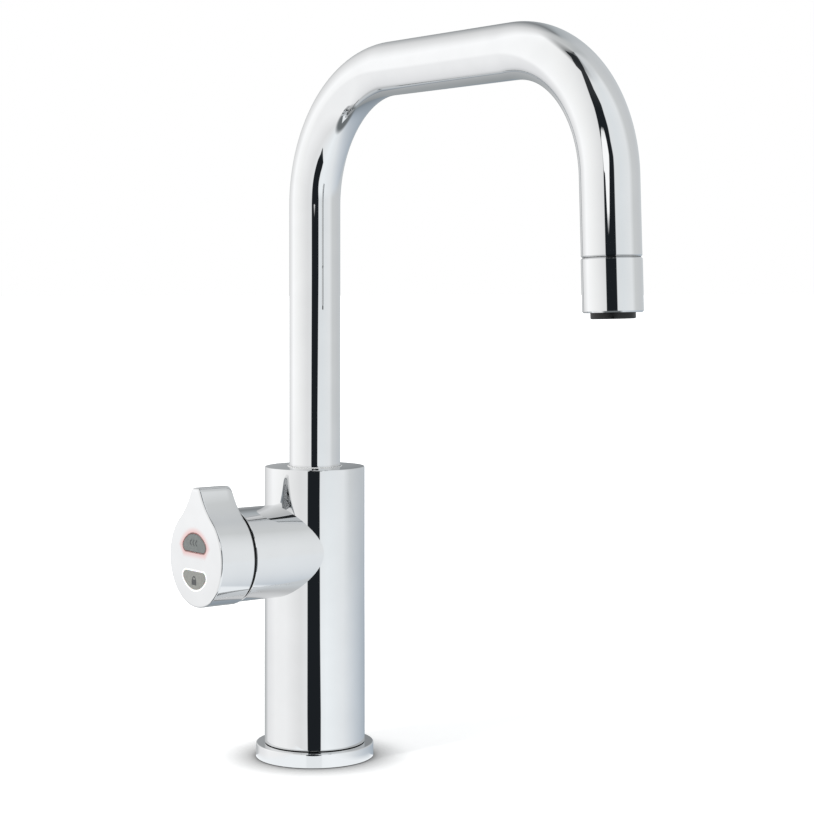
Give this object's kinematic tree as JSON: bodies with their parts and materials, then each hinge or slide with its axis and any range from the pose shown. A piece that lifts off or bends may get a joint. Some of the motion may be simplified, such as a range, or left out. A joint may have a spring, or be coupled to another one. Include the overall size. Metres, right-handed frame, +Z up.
{
  "type": "boiling water tap",
  "caption": "Bench-mounted boiling water tap with a square-bend swivel spout, a round column and a turning side lever that carries two lit push buttons.",
  "frame": {"origin": "middle of the base gasket's underside, on the bench top, on the column's axis", "axes": "+Z up along the column, the spout points along -Y at rest, the side boss and lever along -X"},
  "size_m": [0.0981, 0.251, 0.4254],
  "materials": {
    "chrome": "polished chrome plate on brass",
    "stainless": "turned or drawn stainless steel",
    "brass": "machined brass, unplated",
    "black_acetal": "turned black acetal",
    "black_rubber": "moulded black EPDM",
    "white_ptfe": "white PTFE",
    "circuit_board": "green solder mask on glass-fibre board",
    "smoked_plastic": "smoked translucent polycarbonate",
    "clear_plastic": "frosted clear polycarbonate light guide",
    "grey_plastic": "moulded grey plastic"
  },
  "bodies": {
    "root": {"base_gasket": "black_rubber", "base_flange": "chrome", "body_grub_screw": "stainless", "tap_body": "chrome", "spout_socket": "brass", "spout_slip_ring": "white_ptfe", "spout_stop_screw": "stainless", "threaded_shank": "brass", "rubber_clamp_washer": "black_rubber", "steel_clamp_washer": "stainless", "lock_nut": "brass", "shank_gland": "black_rubber", "hot_riser_tube": "stainless", "hot_inlet_fitting": "brass", "chilled_riser_tube": "stainless", "chilled_inlet_fitting": "brass", "signal_cable": "black_rubber", "signal_socket": "black_acetal", "bearing_carrier": "black_acetal", "spindle_bush": "brass", "thrust_washer": "white_ptfe", "centring_spring": "stainless", "sensor_board": "circuit_board"},
    "lever": {"lever_shell": "chrome", "lever_backplate": "black_acetal", "lever_spindle": "stainless", "spindle_circlip": "stainless", "position_magnet": "stainless", "lever_lead": "black_rubber", "button_board": "circuit_board", "board_screw_rear": "stainless", "board_screw_front": "stainless", "hot_light_ring": "clear_plastic", "hot_switch": "grey_plastic", "hot_led": "clear_plastic", "safety_light_ring": "clear_plastic", "safety_switch": "grey_plastic", "safety_led": "clear_plastic"},
    "hot_button": {"hot_button": "smoked_plastic"},
    "safety_button": {"safety_button": "smoked_plastic"},
    "spout": {"spout_tube": "chrome", "spout_foot": "brass", "lower_o_ring": "black_rubber", "upper_o_ring": "black_rubber", "inner_spout_tube": "stainless", "nozzle_sleeve": "chrome", "nozzle_adapter": "brass", "aerator_seal": "black_rubber", "aerator_housing": "black_acetal", "flow_straightener": "white_ptfe"}
  },
  "joints": [
    {"name": "spout_swivel", "type": "hinge", "parent": "root", "child": "spout", "pos_m": [0, 0, 0], "axis": [0, 0, 1], "range_deg": [-60, 60]},
    {"name": "lever_turn", "type": "hinge", "parent": "root", "child": "lever", "pos_m": [0, 0, 0.102], "axis": [1, 0, 0], "range_deg": [-45, 45], "stiffness_Nm_per_rad": 0.15, "deforming": ["centring_spring"]},
    {"name": "hot_press", "type": "slide", "parent": "lever", "child": "hot_button", "axis": [1, 0, 0], "range_m": [0, 0.0008], "stiffness_N_per_m": 500, "springref_m": -0.0006},
    {"name": "safety_press", "type": "slide", "parent": "lever", "child": "safety_button", "axis": [1, 0, 0], "range_m": [0, 0.0008], "stiffness_N_per_m": 500, "springref_m": -0.0006}
  ]
}
